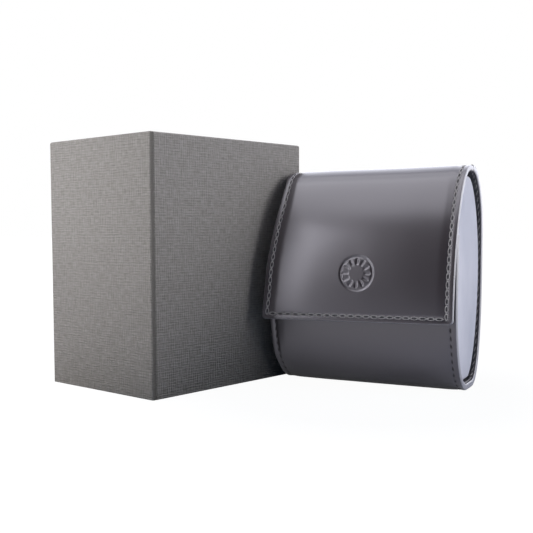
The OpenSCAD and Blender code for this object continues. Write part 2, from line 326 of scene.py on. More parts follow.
def linen(name, parts):
    """Linen-embossed paper: fine threads of uneven thickness crossing, pressed into warm grey paper, with
    painted shade darkening the pressed hollows. They run across and up the wall, by the two sockets in metres
    that parts gives."""
    material, tree, shader = finish(name, srgb(136, 134, 131), 0.75, Specular_IOR_Level=0.08)
    x, z = parts(tree)
    flat = add(tree, "CombineXYZ", {0: x, 1: z}).outputs[0]
    lying = threads(tree, z, flat, (240, 2200, 1), (12, 180, 1))
    standing = threads(tree, x, flat, (2200, 240, 1), (180, 12, 1))
    cloth = plus(tree, times(tree, lying, 0.53), times(tree, standing, 0.47))
    cloth = spread(tree, cloth, 0.25, 0.75)
    clouds = noise_at(tree, flat, 30, 2)
    paper = between(tree, clouds, srgb(153, 149, 146), srgb(159, 155, 152))
    # Painted shade: the pressed hollows of the weave are coloured darker than the raised threads.
    pressed = between(tree, clouds, srgb(124, 121, 117), srgb(130, 127, 123))
    tint(tree, shader, between(tree, cloth, pressed, paper))
    relief(tree, shader, cloth, LINEN_DEEP)
    return material, tree, shader


def tray_parts(tree):
    """Across and up the tray's walls, whichever way they face."""
    parts = add(tree, "SeparateXYZ", {0: on_carton(tree)})
    return plus(tree, parts.outputs[0], parts.outputs[1]), parts.outputs[2]


dress(["tray_paper"], linen("tray_linen", tray_parts)[0])


# ------------------------------------------------------------------------------------------
# Cradle: a block of foam with a trough that the rounded case stands in. It is covered with short dark flock,
# and is dropped into the tray with a little play.
BRINK_ROUND = 0.9 * MM

flocked_foam, tree, shader = finish("flocked_foam", srgb(52, 50, 54), 1.0, Sheen_Weight=0.5,
                                    Sheen_Roughness=0.4)
place = on_carton(tree)
flock = noise_at(tree, place, 3500, 2)
brushed = noise_at(tree, place, 90, 2)
tint(tree, shader, between(tree, brushed, srgb(42, 40, 44), srgb(62, 60, 65)))
relief(tree, shader, flock, 0.12 * MM)


def round_edges(bm, edges, radius, steps):
    bmesh.ops.bevel(bm, geom=edges, offset=radius, segments=steps, profile=0.5, affect="EDGES", material=-1)


def finished(bm, name, materials, sharp=40):
    """Makes the object of a bmesh, smooth but for edges sharper than the angle."""
    for face in bm.faces:
        face.smooth = True
    mesh = bpy.data.meshes.new(name)
    bm.to_mesh(mesh)
    bm.free()
    mesh.set_sharp_from_angle(angle=math.radians(sharp))
    for material in materials:
        mesh.materials.append(material)
    made = bpy.data.objects.new(name, mesh)
    bpy.context.scene.collection.objects.link(made)
    return made


bm = bmesh.new()
bm.from_mesh(NODES["cradle"].data)
bmesh.ops.remove_doubles(bm, verts=bm.verts, dist=1e-6)
bmesh.ops.dissolve_limit(bm, angle_limit=math.radians(1), verts=bm.verts, edges=bm.edges)
brinks = [e for e in bm.edges if len(e.link_faces) == 2 and e.calc_face_angle() > math.radians(40)]
round_edges(bm, brinks, BRINK_ROUND, 3)
cradle = finished(bm, "flocked_cradle", [flocked_foam])
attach(cradle, "carton_tray")
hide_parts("cradle")


# ------------------------------------------------------------------------------------------
# Carton lid: one sheet of linen paper glued over the board on five sides. Its edges are rounded by the paper,
# and the lap of the sheet makes a shallow groove beside the near upright edge, darkened by painted shade.
LID_HEM = 0.1 * MM
PAPER_THICK = 0.4 * MM
UPRIGHT_ROUND = 1.2 * MM
TOP_ROUND = 1.0 * MM
LAP_EDGE = 1.0 * MM
LAP_WIDE = 1.2 * MM
LAP_DEEP = 0.2 * MM
LID_FLARE = 1.2 * MM
LID_CURL = 1.3 * MM
CARTON_HIGH = carton_high.z
LAP_PAINTED_SHADE = srgb(111, 108, 104)

bm = bmesh.new()
bmesh.ops.create_cube(bm, size=1)
bmesh.ops.scale(bm, vec=(CARTON_WIDE, CARTON_DEEP, CARTON_HIGH - LID_HEM), verts=bm.verts)
bmesh.ops.translate(bm, vec=(0, 0, (CARTON_HIGH + LID_HEM) / 2), verts=bm.verts)
upright = [e for e in bm.edges if abs(e.verts[0].co.z - e.verts[1].co.z) > PAPER_THICK]
round_edges(bm, upright, UPRIGHT_ROUND, 4)
crown = [e for e in bm.edges if all(v.co.z > CARTON_HIGH - PAPER_THICK for v in e.verts)]
round_edges(bm, crown, TOP_ROUND, 3)
below = [f for f in bm.faces if f.normal.z < -0.9]
bmesh.ops.delete(bm, geom=below, context="FACES")
for cut in (LAP_EDGE, LAP_EDGE + LAP_WIDE):
    bmesh.ops.bisect_plane(bm, geom=bm.verts[:] + bm.edges[:] + bm.faces[:], dist=1e-7,
                           plane_co=(-CARTON_WIDE / 2 + cut, 0, 0), plane_no=(1, 0, 0))
laps = []
for face in bm.faces:
    from_edge = face.calc_center_median().x + CARTON_WIDE / 2
    if LAP_EDGE < from_edge < LAP_EDGE + LAP_WIDE and face.normal.y < -0.9:
        laps.append(face)
tallest = max(laps, key=lambda face: face.calc_area())
bmesh.ops.inset_region(bm, faces=[tallest], thickness=LAP_DEEP, depth=-LAP_DEEP)

# The flat sheet as a map in metres, so that the weave runs level on the top, the long walls and the ends
flat = bm.loops.layers.uv.new("flat")
for face in bm.faces:
    for loop in face.loops:
        p = loop.vert.co
        if abs(face.normal.z) > 0.7:
            loop[flat].uv = (p.x, p.y + CARTON_HIGH * 2)
        elif abs(face.normal.y) > 0.7:
            loop[flat].uv = (p.x, p.z)
        else:
            loop[flat].uv = (p.y + CARTON_WIDE * 2, p.z)

# The lid's top stands out a little to one side, and one long edge of it curls up towards its end
for v in bm.verts:
    v.co.x -= LID_FLARE * (0.5 - v.co.x / CARTON_WIDE) * (v.co.z / CARTON_HIGH) ** 2
    if v.co.z > CARTON_HIGH - 2 * TOP_ROUND:
        v.co.z += LID_CURL * (0.62 + v.co.x / CARTON_WIDE) * (0.5 - v.co.y / CARTON_DEEP)
in_place = Matrix.Translation(CARTON_SPOT) @ Matrix.Rotation(CARTON_TURN, 4, "Z")
bmesh.ops.transform(bm, matrix=in_place, verts=bm.verts)


def map_parts(tree):
    """Across and along the piece's own flat map."""
    parts = add(tree, "SeparateXYZ", {0: add(tree, "UVMap", uv_map="flat").outputs[0]})
    return parts.outputs[0], parts.outputs[1]


lid_linen, tree, shader = linen("lid_linen", map_parts)
# Painted shade: the shallow groove of the lap is coloured darker than the paper round it.
from_corner = plus(tree, map_parts(tree)[0], CARTON_WIDE / 2)
lap_start = spread(tree, from_corner, 0.2 * MM, 0.7 * MM)
lap_end = spread(tree, from_corner, LAP_EDGE + LAP_WIDE, LAP_EDGE + LAP_WIDE + 0.25 * MM, 1.0, 0.0)
in_lap = times(tree, lap_start, lap_end)
paper_tone = shader.inputs["Base Color"].links[0].from_socket
tint(tree, shader, between(tree, in_lap, paper_tone, LAP_PAINTED_SHADE))
lid_paper = finished(bm, "linen_lid", [lid_linen])
inward = lid_paper.modifiers.new("paper", "SOLIDIFY")
inward.thickness = PAPER_THICK
inward.offset = -1
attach(lid_paper, "carton_lid")
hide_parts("lid_paper")


# ------------------------------------------------------------------------------------------
# Steel discs and magnets: thin plated rounds in pockets of the boards, held there by the leather glued over
# them. Two are in the front wall and two in the flap, so that the flap closes on them.
plated_steel, tree, shader = finish("plated_steel", srgb(186, 190, 194), 0.28, Metallic=1.0)
turned = noise_at(tree, own_place(tree), 1800, 2)
tree.links.new(spread(tree, turned, 0.3, 0.7, 0.22, 0.38), shader.inputs["Roughness"])
dress(["front_discs", "flap_magnets"], plated_steel)


# ------------------------------------------------------------------------------------------
# Front wall, floor, back and half the roof: one band of smooth leather, cut flat, glued over the board and
# turned in at its rims, where a saddle stitch runs 2.7 mm from the edge. The rims are painted a paler grey.
CASE_WIDE = CASE_HIGH.x - CASE_LOW.x
CASE_DEEP = CASE_HIGH.y - CASE_LOW.y
CASE_TALL = CASE_HIGH.z - CASE_LOW.z
FLOOR_FLAT = 4 * MM
SHOULDER_TALL = 30 * MM
BACK_FULLNESS = 2.55
BELLY_TALL = 40 * MM
FRONT_FULLNESS = 2.1
FRONT_RISE = 75 * MM
WALL_TOP = 71 * MM
OUTLINE_STEPS = 160


def quarter(centre, semi, fullness, side, start, end):
    """Rows of y, z and outward normal along one rounded quarter of the case's section."""
    t = np.radians(np.linspace(start, end, OUTLINE_STEPS))
    c = np.abs(np.cos(t)) ** (2 / fullness)
    s = np.abs(np.sin(t)) ** (2 / fullness)
    n = np.stack([c ** (fullness - 1) / semi[0], s ** (fullness - 1) / semi[1]])
    n /= np.linalg.norm(n, axis=0)
    return np.stack([centre[0] + side[0] * semi[0] * c, centre[1] + side[1] * semi[1] * s,
                     side[0] * n[0], side[1] * n[1]], axis=1)


def measured(rows):
    """The rows in place, with the distance along them as a first column and without doubled points."""
    steps = np.hypot(*np.diff(rows[:, :2], axis=0).T)
    rows = rows[np.concatenate([[True], steps > 1e-7])]
    steps = np.hypot(*np.diff(rows[:, :2], axis=0).T)
    along = np.concatenate([[0], np.cumsum(steps)])
    placed = rows + np.array([CASE_MIDDLE.y, CASE_LOW.z, 0, 0])
    return np.column_stack([along, placed])


def back_of(shoulder, fullness):
    """Rows from the roof's middle over a shoulder of the given height and down the back to the floor."""
    centre = (FLOOR_FLAT, CASE_TALL - shoulder)
    upper = quarter(centre, (QUARTER_DEEP, shoulder), 2, (1, 1), 90, 0)
    lower = quarter(centre, (QUARTER_DEEP, CASE_TALL - shoulder), fullness, (1, -1), 0, 90)
    return [upper, lower]


HALF_DEEP = CASE_DEEP / 2
QUARTER_DEEP = HALF_DEEP - FLOOR_FLAT
BELLY = (-FLOOR_FLAT, BELLY_TALL)
WALL_TURN = math.degrees(math.asin((WALL_TOP - BELLY_TALL) / FRONT_RISE))
front_rows = quarter(BELLY, (QUARTER_DEEP, BELLY_TALL), FRONT_FULLNESS, (-1, -1), 90, 0)
wall_rows = quarter(BELLY, (QUARTER_DEEP, FRONT_RISE), 2, (-1, 1), 0, WALL_TURN)
WRAP = measured(np.concatenate(back_of(SHOULDER_TALL, BACK_FULLNESS) + [front_rows, wall_rows]))
WRAP_LONG = WRAP[-1, 0]


def ladder(*flights):
    """Places from 0 up: each flight is where it ends and its step, and the steps fit evenly."""
    places = [0.0]
    for end, step in flights:
        count = max(1, round((end - places[-1]) / step))
        places += list(np.linspace(places[-1], end, count + 1)[1:])
    return places


def both_ways(places):
    """Places from a rim to the middle, repeated to the other rim and centred on it."""
    half = places[-1]
    left = [p - half for p in places]
    return left + [-p for p in reversed(left[:-1])]


def panel(xs, ss):
    """A closed flat slab, with a face between each two places across (xs) and along (ss)."""
    bm = bmesh.new()
    bmesh.ops.create_grid(bm, x_segments=len(xs) - 1, y_segments=len(ss) - 1, size=0.5)
    for v in bm.verts:
        v.co.x = xs[round((v.co.x + 0.5) * (len(xs) - 1))]
        v.co.y = ss[round((v.co.y + 0.5) * (len(ss) - 1))]
    bmesh.ops.solidify(bm, geom=bm.faces[:], thickness=MM)
    return bm


def flat_uv(bm):
    """Keeps each point's place in the flat leather, in metres, as the map that its grain follows."""
    layer = bm.loops.layers.uv.new("flat")
    for face in bm.faces:
        for loop in face.loops:
            loop[layer].uv = loop.vert.co.xy


def bend(bm, outline):
    """Bends flat work, x across, y along and z over the face, round an outline of the case."""
    along = np.array([v.co.y for v in bm.verts])
    past = np.minimum(along, 0) + np.maximum(along - outline[-1, 0], 0)
    y, z, ny, nz = [np.interp(along, outline[:, 0], outline[:, k]) for k in range(1, 5)]
    size = np.hypot(ny, nz)
    for v, y, z, ny, nz, over in zip(bm.verts, y, z, ny / size, nz / size, past):
        x, high = v.co.x, v.co.z
        v.co = (CASE_MIDDLE.x + x, y + high * ny - over * nz, z + high * nz + over * ny)


RIM_ROUND = 0.5 * MM
STITCH_IN = 2.7 * MM
STITCH_PITCH = 3.7 * MM
PADDED_FROM = STITCH_IN + 0.7 * MM
TROUGH_DEEP = 0.20 * MM
TROUGH_WIDE = 0.8 * MM
LEATHER_THICK = 1.1 * MM
LINING_UNDER = 2.3 * MM
WALL_THICK = 3.2 * MM
TURNED_IN = 0.7 * MM
HAND_WAVE = 0.06 * MM


def eased(value, low, high):
    """0 below low, 1 above high, and smooth between."""
    t = np.clip((value - low) / (high - low), 0, 1)
    return t * t * (3 - 2 * t)


def rim_drop(distance):
    """How far a rounded rim falls below its face, by the distance from the edge."""
    inside = np.clip(RIM_ROUND - distance, 0, RIM_ROUND)
    return RIM_ROUND - np.sqrt(np.maximum(RIM_ROUND ** 2 - inside ** 2, 0))


def shape_leather(bm, rim, swell, press=None):
    """Gives a flat leather slab its profile, padded by swell inside its stitching and turned in at its edge.
    rim(x, s) is the distance to the nearest stitched edge, press(x, s) the depth of what is pressed in."""
    x, s, z = np.array([v.co for v in bm.verts]).T
    edge = rim(x, s)
    waves = np.array([noise.noise(Vector((a * 55, b * 40, 3.1))) for a, b in zip(x, s)]) * HAND_WAVE
    side, foot = rim(x, -1.0), rim(0.0, s)
    steep = eased(side, PADDED_FROM, STITCH_IN + 4.6 * MM)
    gentle = eased(side, PADDED_FROM, STITCH_IN + 22 * MM)
    padding = swell * (0.62 * steep + 0.38 * gentle)
    padding *= 0.7 + 0.3 * eased(foot, PADDED_FROM, STITCH_IN + 20 * MM)
    trough = TROUGH_DEEP * np.exp(-((edge - STITCH_IN) / TROUGH_WIDE) ** 2)
    outer = padding - swell - trough - rim_drop(edge) + waves * eased(edge, 0, 8 * MM)
    if press:
        outer -= press(x, s)
    turned = 1 - eased(edge, TURNED_IN - 0.1 * MM, TURNED_IN + 0.1 * MM)
    inner = -LEATHER_THICK - turned * (WALL_THICK - LEATHER_THICK) + rim_drop(edge)
    for v, high in zip(bm.verts, np.where(z > -MM / 2, outer, inner)):
        v.co.z = high


HALF_WIDE = CASE_WIDE / 2
SLACK_FROM = 2 * MM
RIM_RISE = 1.1 * MM


def slacken(bm, forward, sideways):
    """Lets the tube sit as it was drawn by hand: its left end gives way forward and sideways by functions of
    the height, and its right end stands a little higher at the top."""
    x, y, z = np.array([v.co for v in bm.verts]).T
    share = np.clip((CASE_MIDDLE.x - x - SLACK_FROM) / (HALF_WIDE - SLACK_FROM), 0, None) ** 1.25
    share *= eased(CASE_MIDDLE.y - y, 2 * MM, 14 * MM)
    risen = RIM_RISE * np.clip((x - CASE_MIDDLE.x) / HALF_WIDE, 0, 1) ** 2 * eased(z, 60 * MM, 100 * MM)
    for v, ahead, aside, up in zip(bm.verts, share * forward(z), share * sideways(z), risen):
        v.co += Vector((aside, -ahead, up))


RIM_BAND = 12 * MM
RIM_LADDER = ((0.6 * MM, 0.15 * MM), (1.4 * MM, 0.4 * MM), (2.0 * MM, 0.2 * MM), (4.2 * MM, 0.25 * MM),
              (RIM_BAND, 0.9 * MM))


def wrap_rim(x, s):
    return np.minimum(HALF_WIDE - np.abs(x), WRAP_LONG - s)


along_wrap = ladder((WRAP_LONG - RIM_BAND, 1.5 * MM))
along_wrap += [WRAP_LONG - p for p in reversed(ladder(*RIM_LADDER)[:-1])]
across = both_ways(ladder(*RIM_LADDER, (HALF_WIDE, 2.5 * MM)))
bm = panel(across, along_wrap)
shape_leather(bm, wrap_rim, swell=0.25 * MM)
flat_uv(bm)

PAINT_WIDE = 0.28 * MM
BODY_FORWARD = 0.6 * MM


def paint_edges(bm, rim):
    """The faces at the very edge take the second material, the edge paint."""
    for face in bm.faces:
        middle = face.calc_center_median()
        if rim(middle.x, middle.y) < PAINT_WIDE:
            face.material_index = 1


def body_forward(z):
    return BODY_FORWARD * eased(z, 1 * MM, 16 * MM) * (1 - eased(z, 48 * MM, 68 * MM))


def body_sideways(z):
    return -2.2 * body_forward(z)


def round_the_body(bm):
    """Takes flat work round the tube and lets it sit there."""
    bend(bm, WRAP)
    slacken(bm, body_forward, body_sideways)


paint_edges(bm, wrap_rim)
round_the_body(bm)

PORE_DEEP = 0.0006 * MM
GRAIN_DEEP = 0.001 * MM
HOLE_DEEP = 0.30 * MM


def leather(name, long_reach, hole_long, hole_wide):
    """Smooth satin leather: shallow pores, slow changes of tone, and awl holes of a length and width that are
    coloured nearly black as painted shade.
    """
    material, tree, shader = finish(name, srgb(52, 47, 50), 0.29, Specular_IOR_Level=1.0,
                                    Specular_Tint=(0.90, 0.88, 1.0, 1), Coat_Weight=0.25, Coat_Roughness=0.28)
    flat = add(tree, "UVMap", uv_map="flat").outputs[0]
    x, s = map_parts(tree)
    pores = noise_at(tree, flat, 2400, 3)
    grain = noise_at(tree, flat, 900, 3)
    clouds = noise_at(tree, flat, 45, 3)

    def holes(edge, run):
        """1 in a hole of the stitching and 0 away from it."""
        off = maths(tree, "DIVIDE", maths(tree, "SUBTRACT", edge, STITCH_IN), hole_wide / 2)
        step = maths(tree, "FRACT", maths(tree, "DIVIDE", run, STITCH_PITCH))
        step = times(tree, maths(tree, "SUBTRACT", step, 0.5), STITCH_PITCH / (hole_long / 2))
        squares = plus(tree, maths(tree, "POWER", off, 2.0), maths(tree, "POWER", step, 2.0))
        return spread(tree, maths(tree, "SQRT", squares), 0.7, 1.15, 1.0, 0.0)

    side = maths(tree, "SUBTRACT", HALF_WIDE, maths(tree, "ABSOLUTE", x))
    foot = maths(tree, "SUBTRACT", long_reach, s)
    above_foot = maths(tree, "GREATER_THAN", foot, STITCH_IN + 0.5 * MM)
    inside = maths(tree, "GREATER_THAN", side, STITCH_IN + 0.5 * MM)
    along_side = times(tree, holes(side, s), above_foot)
    along_foot = times(tree, holes(foot, x), inside)
    pricked = maths(tree, "MAXIMUM", along_side, along_foot)
    tone = between(tree, clouds, srgb(48, 43, 46), srgb(56, 51, 54))
    tone = between(tree, times(tree, spread(tree, pores, 0.55, 0.75), 0.15), tone, srgb(40, 36, 39))
    # Painted shade: the awl holes are coloured nearly black.
    tone = between(tree, times(tree, pricked, 0.9), tone, srgb(12, 10, 12))
    tint(tree, shader, tone)
    rough = spread(tree, grain, 0.3, 0.7, 0.28, 0.295)
    tree.links.new(plus(tree, rough, times(tree, pricked, 0.5)), shader.inputs["Roughness"])
    skin = plus(tree, times(tree, pores, PORE_DEEP), times(tree, grain, GRAIN_DEEP))
    skin = maths(tree, "SUBTRACT", skin, times(tree, pricked, HOLE_DEEP))
    relief(tree, shader, skin, 1.0)
    return material


edge_paint, tree, shader = finish("edge_paint", srgb(128, 126, 134), 0.30, Specular_IOR_Level=0.9)
waves = noise_at(tree, own_place(tree), 900, 2)
tint(tree, shader, between(tree, waves, srgb(116, 114, 122), srgb(138, 136, 144)))
relief(tree, shader, waves, 0.06 * MM)

wrap_calf = leather("wrap_calf", WRAP_LONG, hole_long=1.7 * MM, hole_wide=0.8 * MM)
wrap = finished(bm, "leather_wrap", [wrap_calf, edge_paint])
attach(wrap, "case_body")
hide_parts("wrap_leather")


# ------------------------------------------------------------------------------------------
# Lining of the body: dark leather with a crinkled grain, glued inside the tube and butted to the turned-in
# rims. A board lies between it and the outer leather and gives the tube its shape.
def shape_lining(bm):
    """Thins a flat slab to the lining under the board."""
    for v in bm.verts:
        v.co.z = -LINING_UNDER if v.co.z > -MM / 2 else -WALL_THICK


def grained(name):
    """Crinkled lining leather, with painted shade darkening the creases between its lighter plates."""
    material, tree, shader = finish(name, srgb(60, 59, 64), 0.36, Specular_IOR_Level=0.9)
    flat = add(tree, "UVMap", uv_map="flat").outputs[0]
    warp = add(tree, "TexNoise", {"Vector": flat, "Scale": 260.0, "Detail": 2.0}).outputs["Color"]
    pulled = add(tree, "VectorMath", {0: warp, "Scale": 0.0035}, operation="SCALE").outputs[0]
    pulled = add(tree, "VectorMath", {0: flat, 1: pulled}, operation="ADD").outputs[0]
    cells = add(tree, "TexVoronoi", {"Vector": pulled, "Scale": 640.0}, feature="DISTANCE_TO_EDGE")
    plates = spread(tree, cells.outputs["Distance"], 0.0, 0.22)
    # Painted shade: the crinkle's creases are coloured far darker than the plates.
    tint(tree, shader, between(tree, plates, srgb(20, 20, 22), srgb(74, 73, 79)))
    relief(tree, shader, plates, 0.16 * MM)
    return material


lining_leather = grained("crinkled_lining")
lining_across = both_ways(ladder((HALF_WIDE - TURNED_IN, 4 * MM)))
bm = panel(lining_across, ladder((WRAP_LONG - TURNED_IN, 1.5 * MM)))
shape_lining(bm)
flat_uv(bm)
round_the_body(bm)
wrap_lining = finished(bm, "grained_wrap_lining", [lining_leather])
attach(wrap_lining, "case_body")
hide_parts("wrap_lining")

# The tube's board between the two leathers, bent with them
BOARD_INSET = 2.4 * MM
BOARD_SLACK = 0.05 * MM


def shape_board(bm):
    """Thins a flat slab to the board between leather and lining."""
    for v in bm.verts:
        v.co.z = -LEATHER_THICK - BOARD_SLACK if v.co.z > -MM / 2 else -LINING_UNDER + BOARD_SLACK


board_across = both_ways(ladder((HALF_WIDE - BOARD_INSET, 3 * MM)))
bm = panel(board_across, ladder((WRAP_LONG - BOARD_INSET, 1.5 * MM)))
shape_board(bm)
round_the_body(bm)
wrap_board = finished(bm, "wrap_stiffener", [grey_board])
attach(wrap_board, "case_body")
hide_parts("wrap_board")


# ------------------------------------------------------------------------------------------
# Flap: the same leather goes on over the roof and down the front. It is padded inside its stitching, has a
# faint crease below the roof, rounded lower corners and a pressed ring round twelve marks.
FLAP_BOTTOM = 31.2 * MM
FLAP_REACH = 32 * MM
FLAP_CORNER = 2.2 * MM
FOLD_GAP = 0.3 * MM
CREASE_HIGH = 97.8 * MM
FLAP_CENTRE = 22 * MM
FLAP_RISE = CASE_TALL - FLAP_CENTRE
FLAP_TURN = math.degrees(math.asin((FLAP_BOTTOM - FLAP_CENTRE) / FLAP_RISE))
hung_rows = quarter((0, FLAP_CENTRE), (FLAP_REACH, FLAP_RISE), 2, (-1, 1), 90, FLAP_TURN)
FLAP = measured(np.concatenate([[[FLOOR_FLAT - FOLD_GAP, CASE_TALL, 0, 1]], hung_rows]))
FLAP_LONG = FLAP[-1, 0]


def along_flap_at(z):
    """The distance along the flap at a height over the table."""
    return float(np.interp(-z, -FLAP[:, 2], FLAP[:, 0]))


CREASE = along_flap_at(CREASE_HIGH)
CREASE_DEEP = 0.10 * MM
CREASE_WIDE = 1.8 * MM
EMBLEM_ALONG = along_flap_at(53.8 * MM)
EMBLEM_STEP = math.tau / 12
EMBLEM_RING = 7.6 * MM
EMBLEM_MARKS = (4.4 * MM, 6.4 * MM)
EMBLEM_LINE = 0.42 * MM
EMBLEM_DEEP = 0.30 * MM
EMBLEM_REACH = 9.0 * MM
FLAP_SKEW = 1.3 * MM
FLAP_SKEW_REACH = 14 * MM


def flap_rim(x, s):
    return np.minimum(HALF_WIDE - np.abs(x), FLAP_LONG - s)


def flap_press(x, s):
    """Depth of the pressed ring with its twelve marks, and of the crease below the roof."""
    radius = np.hypot(x, s - EMBLEM_ALONG)
    turn = np.arctan2(x, s - EMBLEM_ALONG) / EMBLEM_STEP
    aside = np.abs(turn - np.round(turn)) * EMBLEM_STEP * radius
    beyond = np.maximum(np.maximum(EMBLEM_MARKS[0] - radius, radius - EMBLEM_MARKS[1]), 0)
    off = np.minimum(np.abs(radius - EMBLEM_RING), np.hypot(aside, beyond))
    emblem = EMBLEM_DEEP * (1 - eased(off, EMBLEM_LINE * 0.5, EMBLEM_LINE * 1.8))
    return emblem + CREASE_DEEP * np.exp(-((s - CREASE) / CREASE_WIDE) ** 2)


# The flap's faces are small at its rims, round the crease and under the ring
PLACES_APART = 0.2 * MM
emblem_steps = np.linspace(-EMBLEM_REACH, EMBLEM_REACH, 53)
across = both_ways(ladder(*RIM_LADDER, (HALF_WIDE, 2.0 * MM)))
across = [x for x in across if abs(x) > EMBLEM_REACH + PLACES_APART]
across = sorted(across + list(emblem_steps))
along = ladder((CREASE - 5 * MM, 0.8 * MM), (CREASE + 5 * MM, 0.5 * MM),
               (EMBLEM_ALONG - EMBLEM_REACH, 1.3 * MM))
along += [EMBLEM_ALONG + step for step in emblem_steps[1:]]
foot = [FLAP_LONG - p for p in reversed(ladder(*RIM_LADDER))]
along += [s for s in foot if s > along[-1] + PLACES_APART]
bm = panel(across, along)
shape_leather(bm, flap_rim, swell=0.7 * MM, press=flap_press)


def trim_flap(bm, long_reach):
    """Draws the square lower corners in to quarter circles and cuts the free edge a little out of square."""
    side, foot = HALF_WIDE - FLAP_CORNER, long_reach - FLAP_CORNER
    for v in bm.verts:
        dx, ds = abs(v.co.x) - side, v.co.y - foot
        if dx > 0 and ds > 0:
            share = max(dx, ds) / math.hypot(dx, ds)
            v.co.x = math.copysign(side + dx * share, v.co.x)
            v.co.y = foot + ds * share
        near_foot = max(0.0, 1 - (long_reach - v.co.y) / FLAP_SKEW_REACH)
        v.co.y -= FLAP_SKEW * (v.co.x / CASE_WIDE + 0.5) * near_foot


def flap_forward(z):
    return BODY_FORWARD * (1 - eased(z, FLAP_BOTTOM, 84 * MM))


def flap_sideways(z):
    drawn_in = 1.1 * eased(z, 72 * MM, 88 * MM) * (1 - eased(z, 92 * MM, 101 * MM))
    spread_out = 1.6 * (1 - eased(z, 50 * MM, 78 * MM)) + 1.0 * (1 - eased(z, FLAP_BOTTOM, 46 * MM))
    return (drawn_in - spread_out) * MM


def over_the_roof(bm, long_reach=FLAP_LONG):
    """Trims flat work of the flap, and takes it over the roof and down the front."""
    trim_flap(bm, long_reach)
    bend(bm, FLAP)
    slacken(bm, flap_forward, flap_sideways)


flat_uv(bm)
paint_edges(bm, flap_rim)
over_the_roof(bm)
flap_calf = leather("flap_calf", FLAP_LONG, hole_long=2.1 * MM, hole_wide=1.1 * MM)
flap = finished(bm, "leather_flap", [flap_calf, edge_paint])
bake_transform(flap)
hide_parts("flap_leather")

bm = panel(lining_across, ladder((FLAP_LONG - TURNED_IN, 1.2 * MM)))
shape_lining(bm)
flat_uv(bm)
over_the_roof(bm)
flap_lining = finished(bm, "grained_flap_lining", [lining_leather])
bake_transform(flap_lining)
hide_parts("flap_lining")

# The flap's own board between the two leathers, bent with them
bm = panel(board_across, ladder((FLAP_LONG - BOARD_INSET, 1.5 * MM)))
shape_board(bm)
over_the_roof(bm, FLAP_LONG - BOARD_INSET)
flap_board = finished(bm, "flap_stiffener", [grey_board])
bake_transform(flap_board)
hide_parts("flap_board")


# ------------------------------------------------------------------------------------------
# Stitching: waxed thread. On the flap it is coloured paler than the leather, partly its own tone and partly a
# painted highlight for the glint on the thread, and lies as a chain of open links, one round each awl hole.
# On the body it is dark and drawn down into the leather, and on the lining it shows as slanted stitches of
# the pale thread.
THREAD_THICK = 0.42 * MM
THREAD_LONG = 2.9 * MM
THREAD_SLANT = math.radians(14)
LINK_WIDE = 1.75 * MM


def twisted(name, tone, hollow, proud):
    """Waxed thread: its own tone, with painted shade in the hollows of its twist and a painted highlight on
    its ridges.
    """
    material, tree, shader = finish(name, tone, 0.38)
    place = own_place(tree)
    twist = add(tree, "TexWave", {"Vector": place, "Scale": 1400.0, "Distortion": 3.0}).outputs["Fac"]
    # Painted shade and highlight: darker in the twist's hollows, lighter on its ridges.
    tint(tree, shader, between(tree, twist, hollow, proud))
    relief(tree, shader, twist, 0.05 * MM)
    return material


# Painted highlight: the pale thread stands partly for the glint on a dark thread.
waxed_thread_painted_glint = twisted("waxed_thread_painted_glint", srgb(148, 145, 148), srgb(130, 127, 130), srgb(168, 165, 168))
dark_thread = twisted("dark_thread", srgb(52, 47, 51), srgb(40, 36, 39), srgb(60, 55, 59))


def one_stitch(bm):
    """Keeps a stitch as a mesh, to be laid many times."""
    mesh = bpy.data.meshes.new("one_stitch")
    bm.to_mesh(mesh)
    bm.free()
    return mesh


# One straight stitch, lying along Y
bm = bmesh.new()
bmesh.ops.create_uvsphere(bm, u_segments=8, v_segments=5, radius=0.5)
bmesh.ops.scale(bm, vec=(THREAD_THICK, THREAD_THICK, THREAD_LONG), verts=bm.verts)
bmesh.ops.rotate(bm, matrix=Matrix.Rotation(math.pi / 2, 3, "X"), verts=bm.verts)
bmesh.ops.rotate(bm, matrix=Matrix.Rotation(THREAD_SLANT, 3, "Z"), verts=bm.verts)
straight_stitch = one_stitch(bm)

# One open link, long along Y
bm = bmesh.new()
ring = bmesh.ops.create_circle(bm, segments=5, radius=THREAD_THICK / 2, cap_ends=False)["verts"]
bmesh.ops.rotate(bm, matrix=Matrix.Rotation(math.pi / 2, 3, "X"), verts=ring)
bmesh.ops.translate(bm, vec=((LINK_WIDE - THREAD_THICK) / 2, 0, 0), verts=ring)
bmesh.ops.spin(bm, geom=bm.verts[:] + bm.edges[:], cent=(0, 0, 0), axis=(0, 0, 1), angle=math.tau, steps=12,
               use_merge=True)
bmesh.ops.remove_doubles(bm, verts=bm.verts, dist=1e-7)
bmesh.ops.recalc_face_normals(bm, faces=bm.faces[:])
bmesh.ops.scale(bm, vec=(1, (STITCH_PITCH + THREAD_THICK) / LINK_WIDE, 1), verts=bm.verts)
open_link = one_stitch(bm)


def stitch_row(bm, one, start, end, height):
    """Lays stitches in the flat, centred on whole pitches of the run along the seam."""
    run = end - start
    turn = Matrix.Rotation(math.atan2(-run.x, run.y), 4, "Z")
    along = start.y if abs(run.y) > abs(run.x) else start.x
    first = (math.floor(along / STITCH_PITCH) + 0.5) * STITCH_PITCH - along
    for number in range(int((run.length - first) / STITCH_PITCH) + 1):
        reach = first + number * STITCH_PITCH
        if reach < 0:
            continue
        middle = start + run.normalized() * reach
        before = len(bm.verts)
        bm.from_mesh(one)
        bm.verts.ensure_lookup_table()
        place = Matrix.Translation((middle.x, middle.y, height)) @ turn
        for v in bm.verts[before:]:
            v.co = place @ v.co


LINING_STITCH_IN = 1.4 * MM
LINING_FACE = -WALL_THICK - 0.05 * MM


